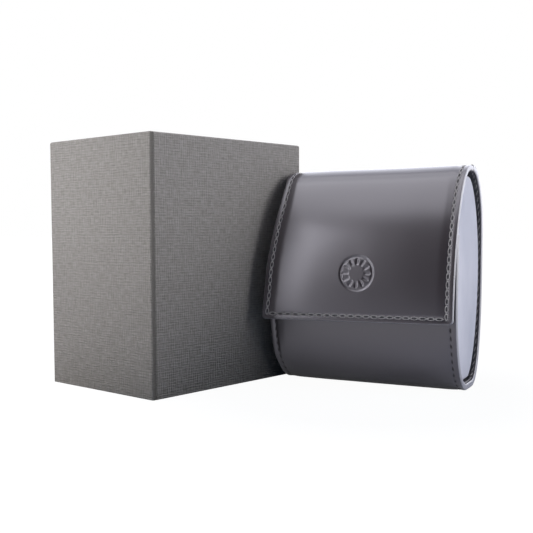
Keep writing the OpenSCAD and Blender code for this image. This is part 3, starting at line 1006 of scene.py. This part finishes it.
def stitching(name, long_reach, lay, one, height, foot_height, thread):
    """Both rims and the free edge of one leather, outside and on the lining, laid where the leather goes."""
    bm = bmesh.new()
    side = HALF_WIDE - STITCH_IN
    inner_side = HALF_WIDE - LINING_STITCH_IN
    foot = long_reach - STITCH_IN
    for sign in (-1, 1):
        stitch_row(bm, one, Vector((sign * side, 0)), Vector((sign * side, foot)), height)
    stitch_row(bm, one, Vector((-side, foot)), Vector((side, foot)), foot_height)
    outside = len(bm.faces)
    for sign in (-1, 1):
        start, end = Vector((sign * inner_side, 0)), Vector((sign * inner_side, foot))
        stitch_row(bm, straight_stitch, start, end, LINING_FACE)
    stitch_row(bm, straight_stitch, Vector((-side, foot)), Vector((side, foot)), LINING_FACE)
    bm.faces.ensure_lookup_table()
    for face in bm.faces[outside:]:
        face.material_index = 1
    lay(bm)
    return finished(bm, name, [thread, waxed_thread_painted_glint], 180)


wrap_thread = stitching("wrap_stitching", WRAP_LONG, round_the_body, straight_stitch,
                        height=-0.50 * MM, foot_height=-0.30 * MM, thread=dark_thread)
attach(wrap_thread, "case_body")
flap_thread = stitching("flap_stitching", FLAP_LONG, over_the_roof, open_link,
                        height=-0.80 * MM, foot_height=-0.32 * MM, thread=waxed_thread_painted_glint)
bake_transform(flap_thread)


# ------------------------------------------------------------------------------------------
# Spool: two board cheeks covered with pale suede, joined by a beech bar. The suede is drawn over a thin foam
# and glued down behind, so each cheek is rounded at its edge and a little crowned.
CHEEK_IN = 4.4 * MM
CHEEK_FACE = HALF_WIDE - 2.1 * MM
SUEDE_THICK = 1.1 * MM
CHEEK_THICK = 1.8 * MM
CHEEK_ROUND = 1.1 * MM
CHEEK_SHOULDER = 44 * MM
CHEEK_FULLNESS = 2.08
brow_rows = quarter((0, BELLY_TALL), (HALF_DEEP, CASE_TALL - BELLY_TALL), 2, (-1, 1), 0, 90)
CHEEK_OUTLINE = measured(np.concatenate(back_of(CHEEK_SHOULDER, CHEEK_FULLNESS) + [front_rows, brow_rows]))


def cheek_loop(inset, count):
    """The closed outline of the tube's inside, rounder at the back and set in, as a count of points."""
    along = CHEEK_OUTLINE[:, 0]
    places = np.linspace(0, along[-1], count, endpoint=False)
    y, z, ny, nz = [np.interp(places, along, CHEEK_OUTLINE[:, k]) for k in range(1, 5)]
    size = np.hypot(ny, nz)
    return [(a - inset * c / e, b - inset * d / e) for a, b, c, d, e in zip(y, z, ny, nz, size)]


suede, tree, shader = finish("pale_suede", srgb(196, 195, 208), 0.95, Sheen_Weight=0.35, Sheen_Roughness=0.5,
                             Specular_IOR_Level=0.2)
place = own_place(tree)
nap = noise_at(tree, place, 5200, 3)
stroked = noise_at(tree, place, 34, 3, (1, 1, 0.6))
tone = between(tree, spread(tree, stroked, 0.35, 0.65), srgb(183, 185, 198), srgb(212, 212, 222))
tone = between(tree, times(tree, nap, 0.5), tone, srgb(188, 189, 203))
tint(tree, shader, tone)
relief(tree, shader, nap, 0.09 * MM)

CHEEK_POINTS = 160
CHEEK_BOW = 1.0 * MM
CHEEK_BACK = -SUEDE_THICK - CHEEK_THICK


def cheek(name, side, profile, material):
    """A closed plate of the tube's outline. Its profile is rows of inset and height over the cheek's face."""
    bm = bmesh.new()
    bmesh.ops.create_grid(bm, x_segments=CHEEK_POINTS, y_segments=len(profile) - 1, size=0.5)
    loops = [cheek_loop(CHEEK_IN + inset, CHEEK_POINTS) for inset, _ in profile]
    for v in bm.verts:
        point = round((v.co.x + 0.5) * CHEEK_POINTS) % CHEEK_POINTS
        row = round((v.co.y + 0.5) * (len(profile) - 1))
        y, z = loops[row][point]
        rise = (z - CASE_MIDDLE.z) / (CASE_TALL / 2)
        bow = CHEEK_BOW * (1 - rise ** 2) if profile[row][1] > CHEEK_BACK else 0
        v.co = (CASE_MIDDLE.x + side * (CHEEK_FACE + profile[row][1] + bow), y, z)
    bmesh.ops.remove_doubles(bm, verts=bm.verts, dist=1e-7)
    bmesh.ops.holes_fill(bm, edges=[e for e in bm.edges if e.is_boundary], sides=0)
    bmesh.ops.recalc_face_normals(bm, faces=bm.faces[:])
    return finished(bm, name, [material], 60)


SUEDE_PROFILE = [(0.8 * MM, CHEEK_BACK - 0.3 * MM), (0.0, CHEEK_BACK), (0.0, -CHEEK_ROUND)]
for degrees in (22, 45, 67, 90):
    turn = math.radians(degrees)
    SUEDE_PROFILE.append((CHEEK_ROUND * (1 - math.cos(turn)), CHEEK_ROUND * (math.sin(turn) - 1)))
SUEDE_PROFILE += [(2.4 * MM, 0.14 * MM), (4.0 * MM, 0.22 * MM), (5.6 * MM, 0.26 * MM)]
BOARD_PROFILE = [(SUEDE_THICK, CHEEK_BACK), (SUEDE_THICK, -SUEDE_THICK)]
for name, side in (("left", -1), ("right", 1)):
    card = cheek(name + "_cheek_card", side, BOARD_PROFILE, grey_board)
    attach(card, "cushion_spool")
    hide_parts(name + "_cheek_board")
    cover = cheek(name + "_suede_cheek", side, SUEDE_PROFILE, suede)
    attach(cover, "cushion_spool")
    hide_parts(name + "_cheek_suede")

# The wooden bar, of plain beech
beech, tree, shader = finish("beech", srgb(202, 172, 130), 0.55)
place = own_place(tree)
rings = noise_at(tree, place, 60, 3, (0.15, 3, 3))
pores = noise_at(tree, place, 500, 2, (0.2, 3, 3))
tint(tree, shader, between(tree, rings, srgb(184, 150, 106), srgb(214, 186, 146)))
relief(tree, shader, pores, 0.04 * MM)
dress(["cushion_core"], beech)


# ------------------------------------------------------------------------------------------
# Watch cushion: a foam roll round the bar, covered with the same suede. The cover is blown up by simulation,
# is crowned and drawn in at its two ends, and has a seam round each end and one along its underside.
CUSHION_LOW, CUSHION_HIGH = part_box("cushion_cover")
CUSHION_MIDDLE = (CUSHION_LOW + CUSHION_HIGH) / 2
CUSHION_SIZE = CUSHION_HIGH - CUSHION_LOW
CUSHION_START = Vector((0.99, 0.93, 0.93))
CUSHION_LONG_ROUND = 9 * MM
CUSHION_END_ROUND = 2.5 * MM
CUSHION_VOXEL = 4 * MM
CUSHION_MOST = 5 * MM
CLOTH_FRAMES = 20
CUSHION_SEAM_IN = 4 * MM
CUSHION_SEAM_WIDE = 0.7 * MM
CUSHION_SEAM_DEEP = 0.8 * MM
CUSHION_DRAWN_IN = 1.5 * MM

bm = bmesh.new()
bmesh.ops.create_cube(bm, size=1)
bmesh.ops.scale(bm, vec=CUSHION_SIZE * CUSHION_START, verts=bm.verts)
bmesh.ops.translate(bm, vec=CUSHION_MIDDLE, verts=bm.verts)
long_edges = [e for e in bm.edges if abs(e.verts[0].co.x - e.verts[1].co.x) > MM]
round_edges(bm, long_edges, CUSHION_LONG_ROUND, 6)
end_edges = [e for e in bm.edges if abs(e.verts[0].co.x - e.verts[1].co.x) < MM / 10]
round_edges(bm, end_edges, CUSHION_END_ROUND, 3)
cushion = finished(bm, "watch_cushion", [suede], 180)
coarse = cushion.modifiers.new("voxels", "REMESH")
coarse.mode = "VOXEL"
coarse.voxel_size = CUSHION_VOXEL


def evaluated(piece):
    """A mesh of the piece as its modifiers leave it."""
    seen = piece.evaluated_get(bpy.context.evaluated_depsgraph_get())
    return bpy.data.meshes.new_from_object(seen)


skin = evaluated(cushion)
cushion.modifiers.clear()
cushion.data = skin
blown = cushion.modifiers.new("cloth", "CLOTH")
blown.settings.use_pressure = True
blown.settings.uniform_pressure_force = 4
blown.settings.effector_weights.gravity = 0
blown.settings.quality = 6
blown.point_cache.frame_start = 1
blown.point_cache.frame_end = CLOTH_FRAMES
for number in range(1, CLOTH_FRAMES + 1):
    bpy.context.scene.frame_set(number)
blown_skin = evaluated(cushion)
cushion.modifiers.clear()
bpy.context.scene.frame_set(1)
for before, after in zip(cushion.data.vertices, blown_skin.vertices):
    moved = after.co - before.co
    if moved.length > CUSHION_MOST:
        moved *= CUSHION_MOST / moved.length
    before.co += moved

# Drawn in between its corners, its seams sunk, and kept in the room that its own solid has
bm = bmesh.new()
bm.from_mesh(cushion.data)
bmesh.ops.subdivide_edges(bm, edges=bm.edges[:], cuts=1, use_grid_fill=True, smooth=0.6)
half = CUSHION_SIZE / 2
for v in bm.verts:
    off = v.co - CUSHION_MIDDLE
    from_end = half.x - abs(off.x)
    end_seam = math.exp(-((from_end - CUSHION_SEAM_IN) / CUSHION_SEAM_WIDE) ** 2)
    under_seam = math.exp(-(off.y / CUSHION_SEAM_WIDE) ** 2) if off.z < 0 else 0
    sunk = CUSHION_SEAM_DEEP * max(end_seam, under_seam)
    drawn = CUSHION_DRAWN_IN * (1 - float(eased(from_end, 0, CUSHION_LONG_ROUND)))
    off -= Vector((0, off.y, off.z)).normalized() * (sunk + drawn)
    limit = [min(max(c, -h), h) for c, h in zip(off, half)]
    v.co = CUSHION_MIDDLE + Vector(limit)
for face in bm.faces:
    face.smooth = True
bm.to_mesh(cushion.data)
bm.free()
cushion.data.materials.clear()
cushion.data.materials.append(suede)
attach(cushion, "cushion_spool")
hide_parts("cushion_cover", "cushion_foam")
